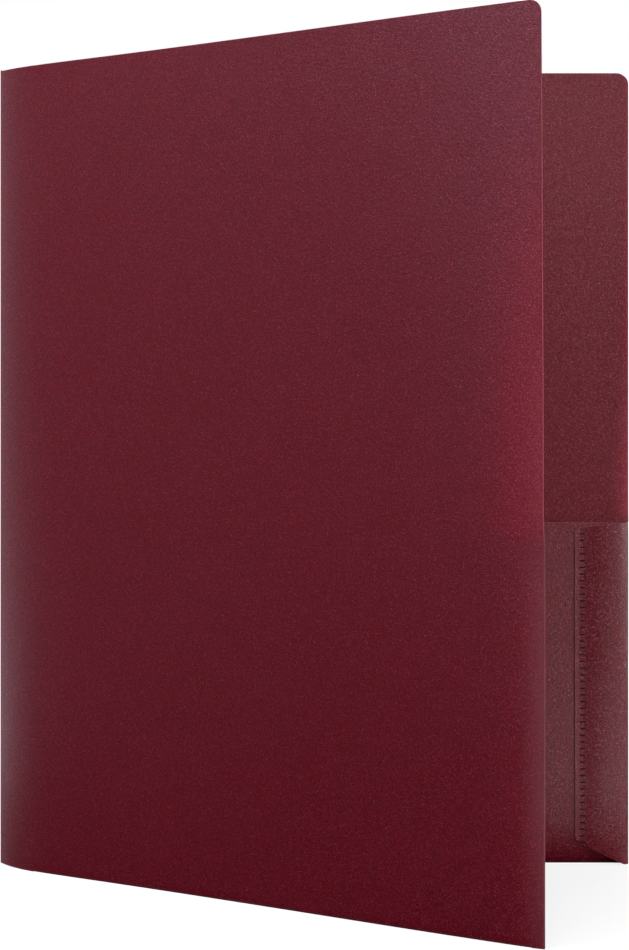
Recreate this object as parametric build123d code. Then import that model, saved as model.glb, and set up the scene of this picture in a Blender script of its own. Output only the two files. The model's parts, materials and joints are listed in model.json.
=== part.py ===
from build123d import *
from math import atan2, cos, degrees, radians, sin
import os

# Two pocket folder, die-cut from one polypropylene sheet, creased twice along its spine.
# Each cover has a pocket folded up from its lower edge, and a side flap folded in from its
# free edge and welded to the pocket by a row of short bars.
# Lengths are in millimetres and angles in degrees. The back cover lies along +X with its
# outside towards +Y, the front cover opens towards -Y, and the folder stands upright on Z.

# Sheet and covers
sheet = 0.5
cover_height = 298.5
cover_width = 235.0
cover_corner_radius = 4.2
rest_opening = 36.0

# Spine, measured between the two crease lines
spine_width = 4.8
spine_relief = 0.8
crease_seat = 0.05
crease_clearance = 0.05

# Pockets
pocket_height = 128.6
pocket_inset = 19.0
pocket_gap = 1.6
pocket_corner_radius = 3.0
pocket_fold_radius = 0.2
pocket_bow_height = 16.0
pocket_edge_room = 0.8

# Side flaps
flap_width = 20.0
flap_fold_radius = 1.0
flap_foot = 0.3
flap_foot_rise = 6.7
flap_top_flat = 3.3
flap_top_drop = 2.0
flap_chamfer = 1.9
flap_step_radius = 3.0
flap_step_angle = 12.0

# Weld bars, in a flat strip along the inner edge of each side flap
weld_strip_width = 4.2
weld_inset = 3.0
weld_length = 2.1
weld_width = 0.65
weld_pitch = 2.54
weld_end_room = 0.9
weld_recess = 0.2
weld_bite = 0.2

# Reach of a cutting body past the face it opens
overrun = 1.0

# Levels of the sheet's middle, measured inwards from the middle of the cover
half_sheet = sheet / 2
pocket_level = pocket_gap + sheet
strip_level = pocket_level + sheet

# Folds, at the middle of the sheet
pocket_bend = pocket_fold_radius + half_sheet
pocket_fold_height = pocket_bend + half_sheet
flap_bend = flap_fold_radius + half_sheet
flap_fold_depth = flap_bend + half_sheet
flap_fold_line = cover_width - flap_fold_depth
pocket_width = flap_fold_line - pocket_edge_room - pocket_inset

# Spine and creases
crease_radius = half_sheet
cover_edge = crease_radius + crease_clearance
strip_edge = crease_radius - crease_seat
spine_height = cover_height - spine_relief
spine_turn = -90 - rest_opening / 2
front_crease_line = Vector(cos(radians(spine_turn)), sin(radians(spine_turn))) * spine_width


def bearing(point, centre):
    """Direction from a centre to a point, in degrees."""
    return degrees(atan2(point.Y - centre.Y, point.X - centre.X))


def bent_sheet(centre, radius, start, turn):
    """Section of the sheet bent round a centre, from one direction through a turn."""
    outer = CenterArc(centre, radius + half_sheet, start, turn)
    inner = CenterArc(centre, radius - half_sheet, start, turn)
    return make_face([outer, Line(outer @ 1, inner @ 1), inner, Line(inner @ 0, outer @ 0)])


def bow_after_fold(fold_centre, fold_radius, end, inward):
    """Centre and radius of the bow that leaves a fold smoothly and reaches its end point.

    At that end the bow's centre lies in the inward direction.
    """
    reach = end - fold_centre
    radius = (fold_radius**2 - reach.dot(reach)) / (2 * (reach.dot(inward) + fold_radius))
    return end + inward * radius, radius


def cover_plate():
    """Flat cover with a rounded top corner, cut back where the pocket and flap fold over."""
    outline = [
        TangentArc((pocket_inset, 0), (cover_edge, spine_relief), tangent=(-1, 0)),
        Polyline(
            (cover_edge, spine_relief),
            (cover_edge, cover_height),
            (cover_width - cover_corner_radius, cover_height),
        ),
        TangentArc(
            (cover_width - cover_corner_radius, cover_height),
            (cover_width, cover_height - cover_corner_radius),
            tangent=(1, 0),
        ),
        Polyline(
            (cover_width, cover_height - cover_corner_radius),
            (cover_width, pocket_height),
            (flap_fold_line, pocket_height),
            (flap_fold_line, pocket_fold_height),
            (pocket_inset, pocket_fold_height),
            (pocket_inset, 0),
        ),
    ]
    return extrude(Plane.XZ * make_face(outline), amount=half_sheet, both=True)


def pocket_and_fold():
    """Pocket panel bowed out of a tight fold along its lower edge, and that fold."""
    fold_centre = Vector(pocket_bend, pocket_fold_height)
    bow_end = Vector(pocket_level, pocket_bow_height)
    bow_centre, bow_radius = bow_after_fold(fold_centre, pocket_bend, bow_end, Vector(-1, 0))
    lean = bearing(fold_centre, bow_centre)
    fold = bent_sheet(fold_centre, pocket_bend, 180, 180 + lean)
    bow = bent_sheet(bow_centre, bow_radius, lean, -lean)
    flat_height = pocket_height - pocket_bow_height
    flat = Pos(pocket_level, pocket_bow_height + flat_height / 2) * Rectangle(sheet, flat_height)
    start = Plane.YZ.offset(pocket_inset)
    fold = extrude(start * fold, amount=pocket_width)
    pocket = extrude(start * bow, amount=pocket_width) + extrude(start * flat, amount=pocket_width)
    corner = pocket.edges().filter_by(Axis.Y).group_by(Axis.Z)[-1].sort_by(Axis.X)[0]
    return fillet(corner, pocket_corner_radius), fold


def flap_outline():
    """Outline of the side flap, seen square to the cover."""
    inner = cover_width - flap_width
    top = pocket_height - flap_top_drop
    foot = flap_foot + flap_foot_rise
    return make_face(
        Polyline(
            (cover_width, flap_foot),
            (cover_width, pocket_height),
            (cover_width - flap_top_flat, pocket_height),
            (inner + flap_chamfer, top),
            (inner, top - flap_chamfer),
            (inner, foot + flap_chamfer),
            (inner + flap_chamfer, foot),
            (flap_fold_line, flap_foot),
            (cover_width, flap_foot),
        )
    )


def flap_and_fold():
    """Side flap arched from its fold down to the weld strip, and that fold."""
    fold_centre = Vector(flap_fold_line, flap_bend)
    step = radians(flap_step_angle)
    inward = Vector(sin(step), -cos(step))
    step_end = Vector(cover_width - flap_width + weld_strip_width, strip_level)
    step_centre = step_end + Vector(0, flap_step_radius)
    step_start = step_centre + inward * flap_step_radius
    bow_centre, bow_radius = bow_after_fold(fold_centre, flap_bend, step_start, inward)
    bow_start = bearing(fold_centre, bow_centre)
    bow_turn = bearing(step_start, bow_centre) - bow_start
    step_turn = bearing(step_end, step_centre) - bearing(step_start, step_centre)
    fold = bent_sheet(fold_centre, flap_bend, -90, 90 + bow_start)
    bow = bent_sheet(bow_centre, bow_radius, bow_start, bow_turn)
    rise = bent_sheet(step_centre, flap_step_radius, bearing(step_start, step_centre), step_turn)
    strip_middle = step_end - Vector(weld_strip_width / 2, 0)
    strip = Pos(strip_middle) * Rectangle(weld_strip_width, sheet)
    flap = Part() + [extrude(face, amount=pocket_height) for face in (bow, rise, strip)]
    trim = extrude(Plane.XZ * flap_outline(), amount=-strip_level - flap_width)
    fold = Pos(0, 0, flap_foot) * extrude(fold, amount=pocket_height - flap_foot)
    return flap & trim, fold


def weld_row(low, high):
    """Row of weld bars between two levels above the middle of the cover."""
    first = flap_foot + flap_foot_rise + weld_end_room
    last = pocket_height - flap_top_drop - weld_end_room
    count = int((last - first) / weld_pitch) + 1
    x = cover_width - flap_width + weld_inset
    bar = Box(weld_length, high - low, weld_width)
    middle = (low + high) / 2
    return [Pos(x, middle, first + row * weld_pitch) * bar for row in range(count)]


def leaf():
    """One cover with its pocket, flap and welds, hinged on Z with its inside towards +Y."""
    pocket, pocket_fold = pocket_and_fold()
    flap, flap_fold = flap_and_fold()
    pocket_face = pocket_level + half_sheet
    flap_face = strip_level + half_sheet
    bars = weld_row(pocket_face - weld_bite, flap_face - weld_recess)
    slots = weld_row(pocket_face - weld_bite, flap_face + overrun)
    return {
        "cover": cover_plate(),
        "pocket": pocket - bars,
        "pocket_fold": pocket_fold,
        "side_flap": flap - slots,
        "flap_fold": flap_fold,
        "weld_spots": Compound(children=[bar.solid() for bar in bars]),
    }


def spine():
    """Narrow spine strip, running from the back crease to the front crease, and both creases."""
    crease = Cylinder(crease_radius, spine_height, align=(Align.CENTER, Align.CENTER, Align.MIN))
    creases = [crease, Pos(spine_width, 0, 0) * crease]
    strip = Pos(spine_width / 2, 0, spine_height / 2) * Box(
        spine_width - 2 * strip_edge, sheet, spine_height
    )
    place = Location((0, 0, spine_relief), (0, 0, spine_turn))
    return {
        "spine_strip": place * (strip - creases),
        "back_spine_crease": place * creases[0],
        "front_spine_crease": place * creases[1],
    }


nodes = spine()
front_place = Location(front_crease_line, (0, 0, -rest_opening))
for piece_name, piece in leaf().items():
    nodes["back_" + piece_name] = mirror(piece, about=Plane.XZ)
    nodes["front_" + piece_name] = front_place * piece

# The origin is the middle of the folder's footprint.
box = Compound(children=[Compound(node.solids()) for node in nodes.values()]).bounding_box()
to_origin = Vector(-box.center().X, -box.center().Y, -box.min.Z)

os.makedirs("parts", exist_ok=True)
for node_name, node in nodes.items():
    export_step(Pos(to_origin) * node, f"parts/{node_name}.step")

print("back crease line", to_origin)
print("front crease line", to_origin + front_crease_line)
print("folder size", box.size)
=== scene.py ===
import json
from math import atan2, cos, degrees, pi, radians, sin, sqrt, tan

import bpy
import numpy as np
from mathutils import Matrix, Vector


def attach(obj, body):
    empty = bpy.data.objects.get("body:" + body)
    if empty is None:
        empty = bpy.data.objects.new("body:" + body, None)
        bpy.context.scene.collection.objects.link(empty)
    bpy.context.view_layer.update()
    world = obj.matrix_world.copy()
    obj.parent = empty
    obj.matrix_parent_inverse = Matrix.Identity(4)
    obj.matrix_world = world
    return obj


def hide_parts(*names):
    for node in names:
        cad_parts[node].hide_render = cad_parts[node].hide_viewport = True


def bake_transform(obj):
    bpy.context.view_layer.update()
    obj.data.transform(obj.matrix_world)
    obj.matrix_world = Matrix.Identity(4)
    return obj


# Looks of a two pocket folder made of embossed, slightly translucent polypropylene sheet.
# Each leaf is one continuous sheet: the cover, the pocket folded up from its lower edge and the
# side flap folded in from its free edge. Lengths are in millimetres until a mesh is made.
# On a leaf, x runs from its crease line to its free edge, y towards its inside and z upwards.

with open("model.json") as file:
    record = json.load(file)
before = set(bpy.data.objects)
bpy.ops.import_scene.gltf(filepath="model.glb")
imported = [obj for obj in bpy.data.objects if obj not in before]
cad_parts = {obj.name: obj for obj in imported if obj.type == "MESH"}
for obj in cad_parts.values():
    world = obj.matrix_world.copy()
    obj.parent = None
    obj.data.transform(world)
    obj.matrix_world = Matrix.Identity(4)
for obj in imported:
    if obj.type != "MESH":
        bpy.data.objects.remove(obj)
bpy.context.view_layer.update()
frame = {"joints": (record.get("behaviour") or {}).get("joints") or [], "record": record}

MM = 0.001

# The folded sheet: the part's sizes, with the flap, the folds and the welds refined
sheet = 0.5
cover_height = 298.5
cover_width = 235.0
cover_corner_radius = 4.2
spine_relief = 0.8
pocket_height = 128.6
pocket_inset = 19.0
pocket_gap = 1.6
pocket_corner_radius = 3.0
pocket_bend = 0.45
pocket_bow_height = 13.0
flap_width = 20.35
flap_foot_rise = 7.9
flap_edge_lift = 0.15
flap_lift_reach = 1.5
flap_top_flat = 3.3
flap_top_drop = 2.0
flap_chamfer = 1.75
flap_step_radius = 8.0
flap_step_angle = 12.0
weld_strip_width = 4.2
strip_flat = 2.3
weld_inset = 2.9
weld_length = 2.0
weld_width = 0.42
weld_wall = 0.1
weld_pitch = 2.527
weld_first = 8.1
weld_count = 47
weld_recess = 0.22

half_sheet = sheet / 2
pocket_level = pocket_gap + sheet
strip_level = pocket_level + sheet
fold_height = pocket_bend + half_sheet
flap_edge = cover_width - flap_width
weld_middle = flap_edge + weld_inset
weld_last = weld_first + weld_pitch * (weld_count - 1)

# Finer forms that only the looks have
edge_bevel = 0.08
mitre_limit = 0.8
sharp_angle = 35.0
crease_setback = 0.6
crease_web = 0.34
crease_ear = 0.4
strip_bulge = 0.12
spine_reach = 22.0
bow_power = 1.6
curl_reach = 60.0
curl_tilt = 1.2
fold_curl = 0.7
fold_reach = 10.0
fold_curl_drop = 4.0
fold_curl_fade = 12.0
swell_start = 0.6
swell_heights = [0.7, 2.0, 4.0, 6.0, 8.0, 10.0, 12.0, 15.0, 19.0, 24.0, 32.0, 50.0, 80.0, 128.6]
swell_shares = [0.0, 0.36, 0.75, 0.93, 0.98, 1.0, 1.0, 1.0, 1.0, 0.98, 0.92, 0.67, 0.32, 0.0]
follow_heights = [0.7, 2.0, 3.5, 5.0, 30.0, 60.0]
follow_shares = [0.0, 0.2, 0.5, 0.65, 0.65, 0.0]

# Weld bars: crowned slabs, narrower at both ends, near black with painted shade of their recess, and darker
# painted shade at their deeper ends
bar_clearance = 0.02
bar_depth = 0.45
bar_rise = 0.01
bar_crown = 0.075
bar_taper = 0.03
bar_squeeze = 0.22
bar_squeeze_start = 0.6
bar_shaded_end_start = 0.7
bar_columns = 9
bar_rows = 5

# Columns and rows of the leaves' meshes
spine_columns = [crease_setback, 1.1, 1.7, 2.5, 3.5, 5, 6.5, 8.5, 11, 14, 16.5, pocket_inset]
middle_columns = [19.4, 20.4, pocket_inset + pocket_corner_radius, 26]
middle_columns += list(np.linspace(34, 226, 21)) + [228.4]
corner_columns = [230.8, 231.7, 232.5, 233.2, 233.7, 234.1, 234.4, 234.65, 234.85, cover_width]
column_gap = 0.2
corner_gap = 0.1
strip_distances = [18.65, 19.2, 19.8, flap_width]
foot_row = 3.2
cover_rows = list(np.linspace(132, 288, 19)) + [291, 293.5, 295.5, 297, cover_height]
pocket_rows = [pocket_height, 127.8, 126.5, 124, 119, 110, 98, 86, 74, 62, 50, 38, 28, 21, 16.5]
pocket_rows += [pocket_bow_height]
spine_rows = [spine_relief] + list(np.linspace(4, 294, 30)) + [cover_height - 0.8, cover_height]
fold_steps = 12
bow_steps = 10
flap_bow_steps = 22
flap_bow_spacing = 1.3
flap_weld_margin = 0.25
crease_points = 11
strip_points = 7

# Rows beyond these heights move to meet a rounded or slanted edge, and the others stay level.
# On the flap the heights count from the first and the last weld.
cover_rows_kept_to = 284.0
pocket_rows_kept_to = 119.5
strip_rows_kept_from = -0.6
strip_rows_kept_to = 0.76
chamfer_rows_kept_from = 3.1
chamfer_rows_kept_to = -3.7

# How each leaf lies: its slope at the spine, its bow and curl, and the swell of its pocket
back_lie = {"slope": 0.2, "bow": 0.0, "curl": 0.0, "swell": 1.2}
front_lie = {"slope": 0.27, "bow": 1.4, "curl": 1.2, "swell": 0.2}

# Painted glow: the cover's colour is made brighter near its free edge, mostly above the pocket, in place of
# light that comes through the sheet
back_painted_glow = {
    "strength": 0.7,
    "reaches": [5.8, 5.8, 5.8, 3.2, 2.8],
    "heights": [128.6, 132, 150, 190, 298.5],
    "shares": [0.0, 1.0, 1.0, 0.5, 0.25],
}
front_painted_glow = {
    "strength": 0.57,
    "reaches": [16, 16, 26, 26, 26, 26, 26, 26],
    "heights": [0, 127.8, 131, 175, 204, 220, 251, 298.5],
    "shares": [0.35, 0.35, 0.95, 1.0, 0.75, 0.65, 0.27, 0.1],
}

# Painted light: paler sheet next to the flap fold, in place of a lamp that would light it
fold_light_reach = 10.5
fold_light_power = 1.6
fold_light_heights = [0.0, 12.0, 46.0, 94.0, 118.0, 165.0, 200.0]
fold_light_shares = [0.3, 0.4, 0.7, 0.5, 0.25, 0.2, 0.0]
painted_fold_light_colour = (0.125, 0.035, 0.045)

# Marks of the flap fold fade over the first columns after it
fold_mark_share = 0.8
fold_mark_columns = 4

# The sheet's surface: grains to a metre, how they show in colour, gloss and relief, and how far
# light spreads inside the sheet
sand_scale = 2300
sand_roughness = 0.6
fine_scale = 3600
grain_scale = 5200
cloud_scale = 28
cloud_detail = 3.0
noise_low, noise_high = 0.3, 0.7
# Pale specks: partly the grain's own colour, partly painted glints
grain_and_glint_power = 14.0
mottle = 0.006
gloss_swing = 0.05
bend_roughness = 0.75
edge_roughness = 0.5
relief_height = 0.00018
fine_relief = 0.3
spread_weight = 0.6
spread_radius = (1.0, 0.12, 0.12)
spread_scale = 0.0014

# Studio: floor, background and camera, in metres and pixels
floor_reach = 6.0
floor_grey = 0.93
floor_roughness = 0.9
shadow_near, shadow_far = 0.2, 0.7
shadow_white = 0.75
behind_from, behind_full = 0.2, 0.55
studio_dim = 0.006
camera_place = (0.0, -0.7681, 0.1614)
sensor_height = 36.0
image_height = 950
focal_pixels = 2218.9
horizon = 435.67


class Surface:
    """Middle surface of a sheet: points with their marks, and faces that share them."""

    def __init__(self):
        self.points = []
        self.dents = []
        self.bends = []
        self.faces = []
        self.cover_faces = 0

    def add(self, x, y, z, dent=0.0, bend=0.0):
        self.points.append((x, y, z))
        self.dents.append(dent)
        self.bends.append(bend)
        return len(self.points) - 1

    def fill(self, rows):
        """Quads between neighbouring rows of point numbers."""
        for low, high in zip(rows[:-1], rows[1:]):
            for i in range(len(low) - 1):
                self.faces.append([low[i], low[i + 1], high[i + 1], high[i]])


def bow_after_fold(fold_centre, fold_radius, end, inward):
    """Centre and radius of the bow that leaves a fold smoothly and reaches its end point."""
    reach = end - fold_centre
    radius = (fold_radius**2 - reach.dot(reach)) / (2 * (reach.dot(inward) + fold_radius))
    return end + inward * radius, radius


def arc(centre, radius, start, stop, count):
    """Points of an arc, without its first one. Angles are in degrees."""
    angles = np.radians(np.linspace(start, stop, count + 1)[1:])
    return [(centre[0] + radius * cos(a), centre[1] + radius * sin(a)) for a in angles]


def bearing(point, centre):
    """Angle in degrees at which a point lies from a centre."""
    return degrees(atan2(point[1] - centre[1], point[0] - centre[0]))


def cover_foot(u):
    """Height of the cover's lower edge, which rises a little towards the spine."""
    run = pocket_inset - crease_setback
    radius = (run**2 + spine_relief**2) / (2 * spine_relief)
    return radius - sqrt(radius**2 - max(0.0, pocket_inset - u) ** 2)


def cover_top(u):
    """Height of the cover's upper edge, rounded at the free corner."""
    past = max(0.0, u - cover_width + cover_corner_radius)
    return cover_height - cover_corner_radius + sqrt(max(0.0, cover_corner_radius**2 - past**2))


def pocket_top(u):
    """Height of the pocket's upper edge, rounded at its inner corner."""
    past = max(0.0, pocket_inset + pocket_corner_radius - u)
    return pocket_height - pocket_corner_radius + sqrt(pocket_corner_radius**2 - past**2)


def stretched(z, keep, level, edge):
    """Moves a row past the kept height, so that the row at this level lands on the edge."""
    share = (z - keep) / (level - keep)
    return keep + (edge - keep) * share if share > 0 else z


class Flap:
    """Side flap of one leaf: a fold, a bow that relaxes away from it and a flat strip at its inner edge."""

    def __init__(self, bend, leave, mark, pocket_end, edge_out):
        turn = radians(flap_step_angle)
        self.bend = bend
        self.leave = leave
        self.mark = mark
        self.edge_out = edge_out
        self.pocket_end = pocket_end
        self.fold_line = cover_width - bend - half_sheet
        self.strip_end = flap_edge + strip_flat
        self.step_start = self.strip_end + flap_step_radius * sin(turn)
        self.step_level = strip_level + flap_step_radius * (1 - cos(turn))
        self.step_slope = tan(turn)
        self.bow_end = self.fold_line + bend * sin(radians(leave))
        self.bow_level = bend + bend * cos(radians(leave))
        self.bow_slope = -tan(radians(leave))

    def level(self, x):
        """Distance of the flap's middle surface from the cover's, between its inner edge and its fold."""
        if x <= self.strip_end:
            return strip_level + flap_edge_lift * max(0.0, 1 - (x - flap_edge) / flap_lift_reach) ** 2
        if x <= self.step_start:
            return strip_level + flap_step_radius - sqrt(flap_step_radius**2 - (x - self.strip_end) ** 2)
        run = self.bow_end - self.step_start
        t = (x - self.step_start) / run
        level = self.step_level * (1 + 2 * t) * (1 - t) ** 2 + self.bow_level * t**2 * (3 - 2 * t)
        return level + run * t * (1 - t) * (self.step_slope * (1 - t) - self.bow_slope * t)

    def path(self):
        """Section from the cover's fold line to the weld row: points and fold marks."""
        last = weld_middle + weld_length / 2 + weld_wall + flap_weld_margin
        path = arc((self.fold_line, self.bend), self.bend, -90, 90 - self.leave, fold_steps)
        marks = [self.mark] * len(path)
        shares = np.linspace(0, 1, flap_bow_steps + 1)[1:] ** flap_bow_spacing
        bow = [self.bow_end + (last - self.bow_end) * share for share in shares]
        fade = [fold_mark_share * self.mark, 0.0]
        marks += list(np.interp(np.arange(len(bow)), [0, fold_mark_columns], fade))
        return path + [(x, self.level(x)) for x in bow], marks

    def row(self, z, a):
        """Height of a row on the flap, at distance a from the free edge."""
        chamfer_start = flap_width - flap_chamfer
        flat = self.bend + half_sheet
        slant = min(max((a - flat) / (chamfer_start - flat), 0), 1)
        cut = max(0.0, a - chamfer_start)
        foot = flap_foot_rise * slant + cut
        drop = min(max((a - flap_top_flat) / (chamfer_start - flap_top_flat), 0), 1)
        top = pocket_height - flap_top_drop * drop - cut
        in_chamfer = a > chamfer_start + weld_wall
        low_keep = weld_first + (chamfer_rows_kept_from if in_chamfer else strip_rows_kept_from)
        high_keep = weld_last + (chamfer_rows_kept_to if in_chamfer else strip_rows_kept_to)
        return stretched(stretched(z, low_keep, fold_height, foot), high_keep, pocket_height, top)


def pocket_follow(flap, u, z):
    """How far the pocket follows the arch of the flap that lies over it, near its lower fold."""
    if u <= flap.step_start:
        return 0.0
    room = flap.level(u) - strip_level
    return max(0.0, room) * float(np.interp(z, follow_heights, follow_shares))


def leaf_surface(flap):
    """Middle surface of one leaf, hinged on Z with its inside towards +Y."""
    s = Surface()
    near = [flap.pocket_end, flap.fold_line]
    before_fold = [u for u in corner_columns if u < flap.fold_line]
    near += [u for u in before_fold if min(abs(u - v) for v in near) > column_gap]
    columns = spine_columns + middle_columns + sorted(near)
    corner = [u for u in corner_columns if u > flap.fold_line + corner_gap]
    gaps = [weld_first + weld_pitch * (k - 0.5) for k in range(weld_count + 1)]
    low_rows = [fold_height, foot_row] + gaps + [pocket_height]
    first_gap = low_rows.index(gaps[0])

    # Cover beside and below the pocket's height, then its foot next to the spine
    low = []
    for z in low_rows:
        heights = [z] * len(columns)
        if z == fold_height:
            heights = [cover_foot(u) + (z if u <= flap.pocket_end else 0.0) for u in columns]
        low.append([s.add(u, 0, height) for u, height in zip(columns, heights)])
    s.fill(low)
    foot = [s.add(u, 0, cover_foot(u)) for u in spine_columns]
    s.fill([foot, low[0][: len(spine_columns)]])

    # Cover above the pocket, out to the free edge
    stretch = flap.edge_out / (cover_width - flap.fold_line)
    reached = [u + stretch * max(0.0, u - flap.fold_line) for u in columns + corner]
    high = [low[-1] + [s.add(x, 0, pocket_height) for x in reached[len(columns) :]]]
    for z in cover_rows:
        edges = [stretched(z, cover_rows_kept_to, cover_height, cover_top(u)) for u in columns + corner]
        high.append([s.add(x, 0, edge) for x, edge in zip(reached, edges)])
    s.fill(high)
    s.cover_faces = len(s.faces)

    # Pocket, from its upper edge down and round its fold to the cover
    fold_centre = Vector((pocket_bend, fold_height))
    bow_end = Vector((pocket_level, pocket_bow_height))
    bow_centre, bow_radius = bow_after_fold(fold_centre, pocket_bend, bow_end, Vector((-1, 0)))
    lean = bearing(fold_centre, bow_centre)
    start, stop = len(spine_columns) - 1, columns.index(flap.pocket_end) + 1
    span = columns[start:stop]
    rows = []
    for z in pocket_rows:
        levels = [pocket_level + pocket_follow(flap, u, z) for u in span]
        edges = [stretched(z, pocket_rows_kept_to, pocket_height, pocket_top(u)) for u in span]
        rows.append([s.add(u, y, edge) for u, y, edge in zip(span, levels, edges)])
    for y, z in arc(bow_centre, bow_radius, 0, lean, bow_steps):
        rows.append([s.add(u, y + pocket_follow(flap, u, z), z) for u in span])
    for y, z in arc(fold_centre, pocket_bend, lean, -180, fold_steps)[:-1]:
        rows.append([s.add(u, y, z, bend=1.0) for u in span])
    rows.append(low[0][start:stop])
    s.fill(rows)

    # Side flap, with coarse rows up to the weld row
    path, marks = flap.path()
    wing = [[row[-1]] for row in low]
    for (x, y), mark in zip(path, marks):
        for z, row in zip(low_rows, wing):
            row.append(s.add(x, y, flap.row(z, cover_width - x), bend=mark))
    s.fill(wing)

    # Weld row: fine rows that sink into the weld bars
    fine_rows, coarse_at = [], []
    for i, z in enumerate(low_rows):
        coarse_at.append(len(fine_rows))
        fine_rows.append((z, False))
        if first_gap <= i < first_gap + weld_count:
            centre = weld_first + weld_pitch * (i - first_gap)
            half = weld_width / 2
            fine_rows += [
                (centre - half - weld_wall, False),
                (centre - half, True),
                (centre + half, True),
                (centre + half + weld_wall, False),
            ]
    half = weld_length / 2
    weld_columns = [(half + weld_wall, False), (half, True), (-half, True), (-half - weld_wall, False)]
    fine = []
    for z, in_row in fine_rows:
        row = []
        for offset, in_column in weld_columns:
            x = weld_middle + offset
            dent = weld_recess if in_row and in_column else 0.0
            row.append(s.add(x, flap.level(x), flap.row(z, cover_width - x), dent=dent))
        fine.append(row)
    s.fill(fine)

    # Flap's inner edge, and the faces that join fine rows to coarse ones on both sides
    edge = [[] for _ in low_rows]
    for a in strip_distances:
        for z, row in zip(low_rows, edge):
            row.append(s.add(cover_width - a, flap.level(cover_width - a), flap.row(z, a)))
    s.fill(edge)
    for i in range(len(low_rows) - 1):
        between = fine[coarse_at[i] : coarse_at[i + 1] + 1]
        s.faces.append([wing[i][-1]] + [row[0] for row in between] + [wing[i + 1][-1]])
        s.faces.append([edge[i][0], edge[i + 1][0]] + [row[-1] for row in reversed(between)])
    return s


def settled(points, slope, bow, curl, swell):
    """Bends the sheet as the real one lies: rounded near the spine, bowed and curled at its free edge."""
    x, y, z = points.T
    out = points.copy()
    past = x - crease_setback
    out[:, 1] -= slope * past * np.exp(-past / spine_reach)
    from_edge = np.clip((cover_width - x) / (flap_width - weld_strip_width), 0, 1)
    spread = x / cover_width * from_edge**2 * (3 - 2 * from_edge)
    spread *= np.clip(y / swell_start, 0, 1) * np.interp(z, swell_heights, swell_shares)
    out[:, 1] += swell * spread
    rise = np.clip((z - pocket_height) / (cover_height - pocket_height), 0, 1)
    out[:, 1] -= bow * rise**bow_power * (x / cover_width) ** 2
    from_fold = cover_width - x
    out[:, 1] += curl * np.clip(1 - from_fold / curl_reach, 0, None) ** 2
    out[:, 1] -= curl * curl_tilt * x / cover_width
    above = np.clip((z - pocket_height + fold_curl_drop) / fold_curl_fade, 0, 1)
    out[:, 1] += fold_curl * np.clip(1 - from_fold / fold_reach, 0, None) ** 2 * (1 - above)
    return out


def painted_edge_glow(points, strength, reaches, heights, shares):
    """Painted glow: how much brighter the cover's colour is made towards its free edge, in place of light
    that comes through it.
    """
    x, y, z = points.T
    near = np.clip(1 - (cover_width - x) / np.interp(z, heights, reaches), 0, 1)
    painted_glow = strength * near**2 * (3 - 2 * near) * np.interp(z, heights, shares)
    return np.where(y == 0, painted_glow, 0)


def painted_fold_light_mask(points):
    """Painted light: how much paler the cover's colour is made next to its flap fold, in place of a lamp."""
    x, y, z = points.T
    near = np.clip(1 - (cover_width - x) / fold_light_reach, 0, 1)
    painted_fold_light = near**fold_light_power * np.interp(z, fold_light_heights, fold_light_shares)
    return np.where(y == 0, painted_fold_light, 0)


def point_normals(points, faces):
    """Normal at each point, averaged over the faces round it by area."""
    normals = np.zeros_like(points)
    for face in faces:
        ring = points[face]
        area = np.cross(ring, np.roll(ring, -1, axis=0)).sum(axis=0)
        normals[face] += area
    return normals / np.linalg.norm(normals, axis=1)[:, None]


def thickened(points, faces, dents, marks):
    """Closed sheet round a middle surface, with a bevelled rim: points, faces, marks and inner faces."""
    normals = point_normals(points, faces)
    count = len(points)
    upper = points + normals * (half_sheet - np.array(dents))[:, None]
    lower = points - normals * half_sheet
    edges = dict.fromkeys((a, b) for face in faces for a, b in zip(face, face[1:] + face[:1]))
    rim = [(a, b) for a, b in edges if (b, a) not in edges]
    after = dict(rim)
    before = {b: a for a, b in rim}
    on_rim = {}
    rim_points = []
    for i in after:
        arrive = points[i] - points[before[i]]
        leave = points[after[i]] - points[i]
        inward = np.cross(normals[i], arrive / np.linalg.norm(arrive))
        inward = inward + np.cross(normals[i], leave / np.linalg.norm(leave))
        inward = inward / max(np.linalg.norm(inward), mitre_limit)
        upper[i] += inward * edge_bevel
        lower[i] += inward * edge_bevel
        on_rim[i] = 2 * count + 2 * len(on_rim)
        rim_points.append(points[i] + normals[i] * (half_sheet - edge_bevel))
        rim_points.append(points[i] - normals[i] * (half_sheet - edge_bevel))
    out = [list(face) for face in faces]
    out += [[i + count for i in reversed(face)] for face in faces]
    for a, b in rim:
        p, q = on_rim[a], on_rim[b]
        out.append([b, a, p, q])
        out.append([q, p, p + 1, q + 1])
        out.append([q + 1, p + 1, a + count, b + count])
    marks = {name: list(v) * 2 + [v[i] for i in on_rim for _ in range(2)] for name, v in marks.items()}
    marks["cut_edge"] = [0.0] * (2 * count) + [1.0] * len(rim_points)
    inside = range(len(faces), 2 * len(faces))
    return np.vstack([upper, lower, np.array(rim_points)]), out, marks, inside


def make_mesh(name, points, faces, marks, material):
    """Mesh object in metres, shaded smooth except at sharp edges."""
    mesh = bpy.data.meshes.new(name)
    mesh.from_pydata([tuple(p) for p in np.asarray(points) * MM], [], faces)
    for mark, values in marks.items():
        attribute = mesh.attributes.new(mark, "FLOAT", "POINT")
        attribute.data.foreach_set("value", np.array(values, dtype=np.float32))
    mesh.shade_smooth()
    mesh.set_sharp_from_angle(angle=radians(sharp_angle))
    mesh.materials.append(material)
    mesh.validate()
    obj = bpy.data.objects.new(name, mesh)
    bpy.context.scene.collection.objects.link(obj)
    return obj


def feed(tree, socket, value):
    """Sets a socket to a constant, or links another socket to it."""
    if isinstance(value, bpy.types.NodeSocket):
        tree.links.new(value, socket)
    else:
        socket.default_value = value


def math_node(tree, operation, *values):
    node = tree.nodes.new("ShaderNodeMath")
    node.operation = operation
    for socket, value in zip(node.inputs, values):
        feed(tree, socket, value)
    return node.outputs[0]


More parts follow.
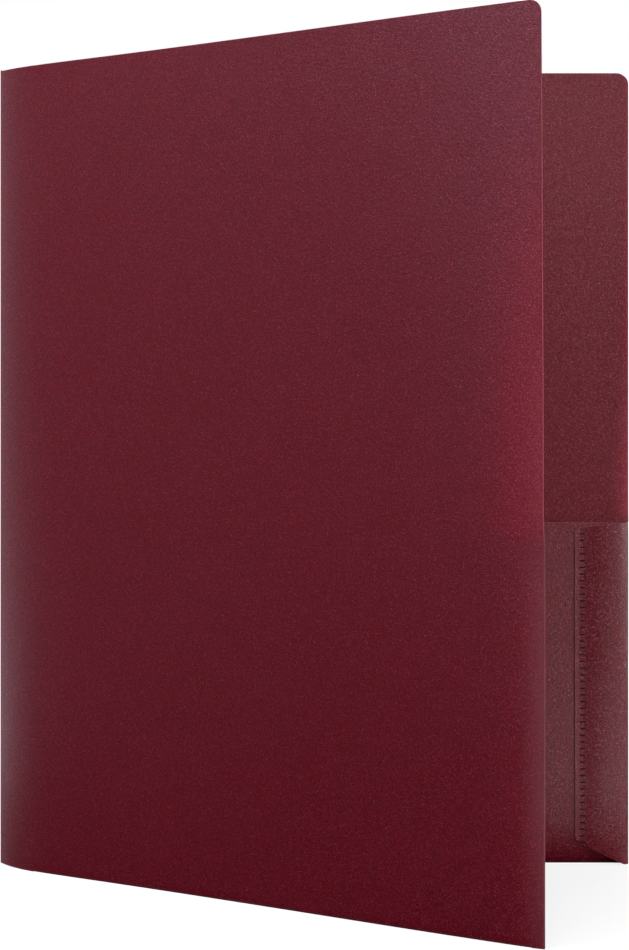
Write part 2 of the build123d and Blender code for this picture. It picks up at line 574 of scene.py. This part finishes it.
def vector_node(tree, operation, *values):
    node = tree.nodes.new("ShaderNodeVectorMath")
    node.operation = operation
    for socket, value in zip(node.inputs, values):
        feed(tree, socket, value)
    return node


def noise(tree, vector, scale, detail=1.0, rough=0.5):
    node = tree.nodes.new("ShaderNodeTexNoise")
    node.inputs["Scale"].default_value = scale
    node.inputs["Detail"].default_value = detail
    node.inputs["Roughness"].default_value = rough
    tree.links.new(vector, node.inputs["Vector"])
    return node.outputs["Fac"]


def remap(tree, value, low, high, to_low, to_high):
    node = tree.nodes.new("ShaderNodeMapRange")
    for name, number in (("From Min", low), ("From Max", high), ("To Min", to_low), ("To Max", to_high)):
        node.inputs[name].default_value = number
    tree.links.new(value, node.inputs["Value"])
    return node.outputs["Result"]


def mix_colour(tree, factor, a, b):
    node = tree.nodes.new("ShaderNodeMix")
    node.data_type = "RGBA"
    tree.links.new(factor, node.inputs["Factor"])
    for socket, colour in ((node.inputs["A"], a), (node.inputs["B"], b)):
        feed(tree, socket, (*colour, 1) if isinstance(colour, tuple) else colour)
    return node.outputs["Result"]


def named_mark(tree, name):
    node = tree.nodes.new("ShaderNodeAttribute")
    node.attribute_name = name
    return node.outputs["Fac"]


def grains(tree, vector):
    """A random number and a random direction for each grain of sand."""
    cells = tree.nodes.new("ShaderNodeTexVoronoi")
    cells.inputs["Scale"].default_value = grain_scale
    tree.links.new(vector, cells.inputs["Vector"])
    parts = tree.nodes.new("ShaderNodeSeparateColor")
    tree.links.new(cells.outputs["Color"], parts.inputs[0])
    return parts.outputs[0], cells.outputs["Color"]


def tilted(tree, normal, direction, amount):
    """A normal that leans a little towards a random direction."""
    centred = vector_node(tree, "SUBTRACT", direction, (0.5, 0.5, 0.5))
    lean = vector_node(tree, "MULTIPLY_ADD", centred.outputs["Vector"], (amount, amount, amount), normal)
    return vector_node(tree, "NORMALIZE", lean.outputs["Vector"]).outputs["Vector"]


def sheet_material(name, deep, grain_and_glint_colour, edge, bend, pressed_and_shaded, rough, gloss, grain, facet, tint=(1.0, 1.0, 1.0)):
    """Embossed polypropylene: sand grain in relief and colour, with pale specks that are partly painted
    glints, paler cut edges and folds, and painted light and shade from its marks.
    """
    material = bpy.data.materials.new(name)
    material.use_nodes = True
    tree = material.node_tree
    shader = tree.nodes["Principled BSDF"]
    place = tree.nodes.new("ShaderNodeTexCoord").outputs["Object"]
    sand = noise(tree, place, sand_scale, rough=sand_roughness)
    fine = noise(tree, place, fine_scale)
    cloud = noise(tree, place, cloud_scale, detail=cloud_detail)
    number, direction = grains(tree, place)

    # Colour: pale specks on the deep colour, partly the grain's own colour and partly painted glints, then
    # the marks (painted light by the flap fold, folds, cut edges, welds with painted shade), then a painted
    # glow where light comes through
    grain_and_glint = math_node(tree, "POWER", number, grain_and_glint_power)
    blotch = remap(tree, cloud, noise_low, noise_high, -mottle, mottle)
    colour = mix_colour(tree, math_node(tree, "ADD", grain_and_glint, blotch), deep, grain_and_glint_colour)
    marks = {"painted_fold_light": painted_fold_light_colour, "bend": bend, "cut_edge": edge, "pressed_and_shaded": pressed_and_shaded}
    for mark, mark_colour in marks.items():
        colour = mix_colour(tree, named_mark(tree, mark), colour, mark_colour)
    # Painted glow: the colour is scaled up by the glow mark near the free edge
    bright = vector_node(tree, "SCALE", colour)
    feed(tree, bright.inputs["Scale"], math_node(tree, "ADD", named_mark(tree, "painted_glow"), 1.0))
    tree.links.new(bright.outputs["Vector"], shader.inputs["Base Color"])

    # Gloss: uneven, and dull at the welds, folds and cut edges
    softness = remap(tree, fine, noise_low, noise_high, rough - gloss_swing, rough + gloss_swing)
    softness = math_node(tree, "MAXIMUM", softness, named_mark(tree, "pressed_and_shaded"))
    for mark, roughness in (("bend", bend_roughness), ("cut_edge", edge_roughness)):
        marked = math_node(tree, "MULTIPLY", named_mark(tree, mark), roughness)
        softness = math_node(tree, "MAXIMUM", softness, marked)
    tree.links.new(softness, shader.inputs["Roughness"])
    shader.inputs["Specular IOR Level"].default_value = gloss
    shader.inputs["Specular Tint"].default_value = (*tint, 1)

    # Relief: sand grain, with small facets that catch the light
    bump = tree.nodes.new("ShaderNodeBump")
    bump.inputs["Strength"].default_value = grain
    bump.inputs["Distance"].default_value = relief_height
    tree.links.new(math_node(tree, "MULTIPLY_ADD", fine, fine_relief, sand), bump.inputs["Height"])
    tree.links.new(tilted(tree, bump.outputs["Normal"], direction, facet), shader.inputs["Normal"])

    shader.inputs["Subsurface Weight"].default_value = spread_weight
    shader.inputs["Subsurface Radius"].default_value = spread_radius
    shader.inputs["Subsurface Scale"].default_value = spread_scale
    return material


# Near black at the welds: partly the weld's own mark, partly painted shade in the recesses
pressed_and_shade_colour = (0.012, 0.0010, 0.0025)
sheet_colours = {
    "deep": (0.094, 0.0002, 0.0053),
    "grain_and_glint_colour": (0.300, 0.0470, 0.0940),
    "edge": (0.110, 0.0050, 0.0110),
    "bend": (0.105, 0.0050, 0.0115),
    "pressed_and_shaded": pressed_and_shade_colour,
}
# Pocket and flap: a copy of the sheet with paler, greyer specks, painted sheen
folded_painted_sheen_colours = {**sheet_colours, "deep": (0.094, 0.0002, 0.0060), "grain_and_glint_colour": (0.331, 0.0923, 0.1376)}
# Inside faces: a copy of the sheet with a darker deep colour, painted shade
inside_painted_shade_colours = {**sheet_colours, "deep": (0.089, 0.0002, 0.0053)}
fold_colours = {
    "deep": (0.094, 0.0004, 0.0066),
    "grain_and_glint_colour": (0.297, 0.0784, 0.1144),
    "edge": (0.070, 0.0030, 0.0070),
    "bend": (0.110, 0.0070, 0.0140),
    "pressed_and_shaded": pressed_and_shade_colour,
}
# Weld bars: near black, painted shade in the slot; the bend colour here is darker painted shade at the bars'
# ends
weld_and_shade_colours = {
    "deep": (0.014, 0.0010, 0.0025),
    "grain_and_glint_colour": (0.022, 0.0020, 0.0040),
    "edge": (0.014, 0.0010, 0.0025),
    "bend": (0.008, 0.0006, 0.0015),
    "pressed_and_shaded": pressed_and_shade_colour,
}
poly_sheet = sheet_material(
    "poly_sheet", **sheet_colours, rough=0.31, gloss=0.44, grain=0.5, facet=0.16, tint=(1.0, 0.8, 1.0)
)
poly_sheet_folded_painted_sheen = sheet_material(
    "poly_sheet_folded_painted_sheen", **folded_painted_sheen_colours, rough=0.31, gloss=0.48, grain=0.5, facet=0.25
)
poly_sheet_inside_painted_shade = sheet_material(
    "poly_sheet_inside_painted_shade", **inside_painted_shade_colours, rough=0.32, gloss=0.29, grain=0.5, facet=0.23
)
fold = sheet_material("fold", **fold_colours, rough=0.4, gloss=0.5, grain=0.35, facet=0.2)
weld = sheet_material("weld", **weld_and_shade_colours, rough=0.7, gloss=0.0, grain=0.15, facet=0.0)

# Where the leaves lie in the frame
joints = {joint["name"]: Vector(joint["pos_m"]) / MM for joint in frame["joints"]}
back_axis = joints["back_crease_hinge"]
front_axis = joints["front_crease_hinge"]
mounts = {mount["name"]: Vector(mount["axis"]) for mount in frame["record"]["mounts"]}
back_outward = mounts["back_cover_face"]
front_outward = mounts["front_cover_face"]


def along_cover(outward):
    """Direction in plan from a leaf's crease line to its free edge."""
    along = Vector((-outward.y, outward.x))
    return along if along.x > 0 else -along


def placed(points, axis, outward):
    """Moves leaf points to a crease line and an outward direction."""
    along = along_cover(outward)
    out = np.zeros_like(points)
    for i in range(2):
        out[:, i] = axis[i] + points[:, 0] * along[i] - points[:, 1] * outward[i]
    out[:, 2] = points[:, 2]
    return out


def add_leaf(side, axis, outward, flap, lie, painted_glow, mirrored):
    """One folded leaf, riding on its cover's body."""
    leaf = leaf_surface(flap)
    flat_points = np.array(leaf.points)
    marks = {
        "bend": leaf.bends,
        # Welds: near black, partly their own mark and partly painted shade in their recesses
        "pressed_and_shaded": [float(dent > 0) for dent in leaf.dents],
        # Painted glow: brighter colour near the free edge, in place of light that comes through the sheet
        "painted_glow": painted_edge_glow(flat_points, **painted_glow),
        # Painted light: paler colour next to the flap fold, in place of a lamp
        "painted_fold_light": painted_fold_light_mask(flat_points),
    }
    points = settled(flat_points, **lie)
    points, faces, marks, inside = thickened(points, leaf.faces, leaf.dents, marks)
    if mirrored:
        faces = [face[::-1] for face in faces]
    obj = make_mesh(side + "_leaf", placed(points, axis, outward), faces, marks, poly_sheet)
    # The inside faces take the darker copy, painted shade, and the pocket and flap take the paler copy,
    # painted sheen
    obj.data.materials.append(poly_sheet_inside_painted_shade)
    obj.data.materials.append(poly_sheet_folded_painted_sheen)
    for i in inside:
        obj.data.polygons[i].material_index = 1
    for i in range(leaf.cover_faces, len(leaf.faces)):
        obj.data.polygons[i].material_index = 2
    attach(obj, side)
    pieces = ("cover", "pocket", "pocket_fold", "side_flap", "flap_fold")
    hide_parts(*[f"{side}_{piece}" for piece in pieces])


def weld_bar(flap):
    """One weld bar round the middle of the weld row: points, faces and the marks of its ends, which get
    darker painted shade.
    """
    widths = np.linspace(-1, 1, bar_rows)
    lengths = np.linspace(-1, 1, bar_columns)
    top = strip_level + half_sheet - weld_recess
    half_length = weld_length / 2 - bar_clearance
    half_width = weld_width / 2 - bar_clearance
    points, faces, shaded_ends = [], [], []
    for upper in (True, False):
        for w in widths:
            for t in lengths:
                squeeze = 1 - bar_squeeze * max(0.0, abs(t) - bar_squeeze_start) / (1 - bar_squeeze_start)
                x = t * half_length * (1 - bar_taper * w**2)
                level = top + flap.level(weld_middle + x) - strip_level
                crown = bar_crown * (1 - w**2) * (1 - t**2) + bar_rise
                points.append((x, level + (crown if upper else -bar_depth), w * half_width * squeeze))
                shaded_ends.append(float(upper and abs(t) > bar_shaded_end_start))
    layer = bar_columns * bar_rows
    for j in range(bar_rows - 1):
        for i in range(bar_columns - 1):
            a = j * bar_columns + i
            face = [a, a + bar_columns, a + bar_columns + 1, a + 1]
            faces.append(face)
            faces.append([k + layer for k in face[::-1]])
    numbers = np.arange(layer).reshape(bar_rows, bar_columns)
    ring = [*numbers[0], *numbers[1:, -1], *numbers[-1, -2::-1], *numbers[-2:0:-1, 0]]
    ring = [int(i) for i in ring]
    for a, b in zip(ring, ring[1:] + ring[:1]):
        faces.append([a, b, b + layer, a + layer])
    return np.array(points), faces, shaded_ends


def add_welds(side, axis, outward, flap, mirrored):
    """Row of weld bars that join a flap to its pocket."""
    bar, bar_faces, shaded_ends = weld_bar(flap)
    points, faces = [], []
    for k in range(weld_count):
        start = k * len(bar)
        points.append(bar + np.array([weld_middle, 0, weld_first + k * weld_pitch]))
        faces += [[i + start for i in face] for face in bar_faces]
    if mirrored:
        faces = [face[::-1] for face in faces]
    points = placed(np.vstack(points), axis, outward)
    # The bars' ends carry the bend mark, which paints them darker: painted shade at the deeper ends
    marks = {"bend": shaded_ends * weld_count, "cut_edge": [0.0] * len(points)}
    obj = make_mesh(side + "_welds", points, faces, marks, weld)
    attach(obj, side)
    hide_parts(side + "_weld_spots")


back_flap = Flap(bend=1.6, leave=27, mark=0.3, pocket_end=232.4, edge_out=0.3)
front_flap = Flap(bend=0.3, leave=38, mark=1.0, pocket_end=230.6, edge_out=0.0)
sides = (
    ("back", back_axis, back_outward, back_flap, back_lie, back_painted_glow, True),
    ("front", front_axis, front_outward, front_flap, front_lie, front_painted_glow, False),
)
for side, axis, outward, flap, lie, painted_glow, mirrored in sides:
    add_leaf(side, axis, outward, flap, lie, painted_glow, mirrored)
    add_welds(side, axis, outward, flap, mirrored)

# Spine strip and the two crease webs, as one section in plan from the back cover to the front
spine_line = Vector((front_axis.x - back_axis.x, front_axis.y - back_axis.y))
spine_width = spine_line.length
spine_along = spine_line / spine_width
crease_shares = np.linspace(0, 1, crease_points)


def swept(name, path, thickness, ears, material):
    """Upright sheet along a path in plan, with a thickness and an upper ear at each point."""
    s = Surface()
    rows = []
    for z in spine_rows:
        last = z == cover_height
        rows.append([s.add(x, y, z + (ear if last else 0)) for (x, y), ear in zip(path, ears)])
    s.fill(rows)
    thin = [sheet - t for t in thickness] * len(spine_rows)
    bends = [1.0 if t < sheet else 0.0 for t in thickness] * len(spine_rows)
    points, faces, marks, _ = thickened(np.array(s.points), s.faces, thin, {"bend": bends})
    return make_mesh(name, points, faces, marks, material)


def crease_path(axis, towards_cover, towards_strip):
    """Arc in plan that joins the cover's edge to the strip's edge round a crease line."""
    corner = Vector((axis.x, axis.y))
    bisector = (towards_cover + towards_strip).normalized()
    half_angle = towards_cover.angle(towards_strip) / 2
    radius = crease_setback * tan(half_angle)
    centre = corner + bisector * (crease_setback / cos(half_angle))
    start = (corner + towards_cover * crease_setback) - centre
    stop = (corner + towards_strip * crease_setback) - centre
    turn = start.angle_signed(stop)
    angles = [atan2(start.y, start.x) - turn * share for share in crease_shares]
    return [(centre.x + radius * cos(a), centre.y + radius * sin(a)) for a in angles]


def strip_point(d):
    """Point in plan on the spine strip, which bulges out a little between the creases."""
    bulge = strip_bulge * sin(pi * d / spine_width)
    x = back_axis.x + spine_along.x * d + spine_along.y * bulge
    y = back_axis.y + spine_along.y * d - spine_along.x * bulge
    return x, y


web = [sheet - (sheet - crease_web) * sin(pi * share) for share in crease_shares]
ears = [crease_ear * sin(pi * share) for share in crease_shares]
back_path = crease_path(back_axis, along_cover(back_outward), spine_along)
front_path = crease_path(front_axis, along_cover(front_outward), -spine_along)
back_crease = swept("back_crease", back_path, web, ears, fold)
front_crease = swept("front_crease", front_path[::-1], web, ears, fold)
strip_path = [strip_point(d) for d in np.linspace(crease_setback, spine_width - crease_setback, strip_points)]
strip = swept("spine_strip_sheet", strip_path, [sheet] * strip_points, [0.0] * strip_points, poly_sheet)

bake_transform(back_crease)
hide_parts("back_spine_crease")
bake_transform(front_crease)
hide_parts("front_spine_crease")
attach(strip, "spine")
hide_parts("spine_strip")


def floor_material():
    """Pale floor that is white to the camera, apart from the object's shadow near it."""
    material = bpy.data.materials.new("floor")
    material.use_nodes = True
    tree = material.node_tree
    shader = tree.nodes["Principled BSDF"]
    shader.inputs["Base Color"].default_value = (floor_grey, floor_grey, floor_grey, 1)
    shader.inputs["Roughness"].default_value = floor_roughness
    shader.inputs["Specular IOR Level"].default_value = 0.0
    white = tree.nodes.new("ShaderNodeEmission")
    white.inputs["Color"].default_value = (1.0, 1.0, 1.0, 1.0)
    white.inputs["Strength"].default_value = 1.0
    distance = vector_node(tree, "LENGTH", tree.nodes.new("ShaderNodeTexCoord").outputs["Object"])
    share = remap(tree, distance.outputs["Value"], shadow_near, shadow_far, shadow_white, 1.0)
    rays = tree.nodes.new("ShaderNodeLightPath")
    mix = tree.nodes.new("ShaderNodeMixShader")
    tree.links.new(math_node(tree, "MULTIPLY", share, rays.outputs["Is Camera Ray"]), mix.inputs[0])
    tree.links.new(shader.outputs[0], mix.inputs[1])
    tree.links.new(white.outputs[0], mix.inputs[2])
    tree.links.new(mix.outputs[0], tree.nodes["Material Output"].inputs["Surface"])
    return material


# The floor throws no light back on the object: the lamps called table, which lie on it, do that.
floor_corners = [(-1, -1), (1, -1), (1, 1), (-1, 1)]
floor_mesh = bpy.data.meshes.new("floor")
floor_mesh.from_pydata([(x * floor_reach, y * floor_reach, 0) for x, y in floor_corners], [], [[0, 1, 2, 3]])
floor_mesh.materials.append(floor_material())
floor = bpy.data.objects.new("floor", floor_mesh)
bpy.context.scene.collection.objects.link(floor)
floor.visible_diffuse = False
floor.visible_glossy = False


def add_softbox(name, place, target, width, height, power):
    """Area lamp that faces its target. Lengths are in metres and the power is in watts."""
    lamp = bpy.data.lights.new(name, "AREA")
    lamp.shape = "RECTANGLE"
    lamp.size = width
    lamp.size_y = height
    lamp.energy = power
    obj = bpy.data.objects.new(name, lamp)
    obj.location = place
    obj.rotation_euler = (Vector(target) - Vector(place)).to_track_quat("-Z", "Y").to_euler()
    obj.visible_camera = False
    bpy.context.scene.collection.objects.link(obj)
    return obj


aim_middle, aim_high, aim_spine = (0.0, 0.0, 0.16), (0.0, 0.0, 0.2), (-0.1, 0.05, 0.14)
add_softbox("overhead", (0.0, -0.9, 1.8), aim_middle, 1.0, 0.8, 25.0)
add_softbox("left", (-0.95, -1.0, 0.85), aim_high, 0.7, 0.5, 3.7)
add_softbox("left_low", (-0.95, -0.95, 0.34), aim_middle, 0.3, 0.35, 1.7)
add_softbox("left_top", (-0.9, -0.35, 1.1), aim_high, 0.6, 0.6, 11.0)
add_softbox("left_mid", (-1.15, 0.12, 0.25), aim_spine, 0.35, 0.8, 0.64)
add_softbox("left_behind", (-1.1, 0.45, 0.2), aim_spine, 0.4, 0.7, 0.16)
add_softbox("left_table", (-0.55, 0.2, 0.004), (-0.55, 0.2, 1.0), 0.6, 0.25, 0.5)
add_softbox("right", (0.85, -1.05, 0.46), aim_middle, 0.9, 0.7, 3.0)
add_softbox("side", (1.1, -0.7, 0.35), aim_middle, 0.35, 0.5, 3.6)
add_softbox("mouth", (1.2, -0.45, 0.4), (0.1, 0.05, 0.12), 0.5, 0.7, 5.4)
add_softbox("table", (0.145, -0.16, 0.004), (0.145, -0.16, 1.0), 0.12, 0.36, 0.21)
mouth_table = add_softbox("mouth_table", (0.09, 0.047, 0.0003), (0.09, 0.047, 1.0), 0.12, 0.04, 0.007)
mouth_table.visible_glossy = False
add_softbox("rear", (0.5, 1.5, 0.9), (0.0, 0.05, 0.15), 1.0, 0.8, 12.0)
add_softbox("front_high", (0.15, -1.6, 0.8), aim_middle, 0.8, 0.4, 6.2)

# The background is white to the camera, and behind the object to gloss and clear pieces as well.
# Apart from that the studio is dim.
world = bpy.data.worlds.new("studio")
world.use_nodes = True
bpy.context.scene.world = world
tree = world.node_tree
rays = tree.nodes.new("ShaderNodeLightPath")
direction = tree.nodes.new("ShaderNodeSeparateXYZ")
tree.links.new(tree.nodes.new("ShaderNodeTexCoord").outputs["Generated"], direction.inputs[0])
behind = remap(tree, direction.outputs["Y"], behind_from, behind_full, 0.0, 1.0)
seen = math_node(tree, "MAXIMUM", rays.outputs["Is Glossy Ray"], rays.outputs["Is Transmission Ray"])
seen = math_node(tree, "MULTIPLY", seen, behind)
seen = math_node(tree, "MAXIMUM", seen, rays.outputs["Is Camera Ray"])
background = tree.nodes["Background"]
background.inputs["Color"].default_value = (1.0, 1.0, 1.0, 1.0)
tree.links.new(remap(tree, seen, 0.0, 1.0, studio_dim, 1.0), background.inputs["Strength"])

# The camera looks level, and its shift puts the horizon where the photograph has it
camera_data = bpy.data.cameras.new("camera")
camera_data.sensor_fit = "VERTICAL"
camera_data.sensor_height = sensor_height
camera_data.lens = sensor_height * focal_pixels / image_height
camera_data.shift_y = (horizon - image_height / 2) / image_height
camera = bpy.data.objects.new("camera", camera_data)
camera.location = camera_place
camera.rotation_euler = (pi / 2, 0, 0)
bpy.context.scene.collection.objects.link(camera)
bpy.context.scene.camera = camera

bpy.context.scene.view_settings.view_transform = "Standard"
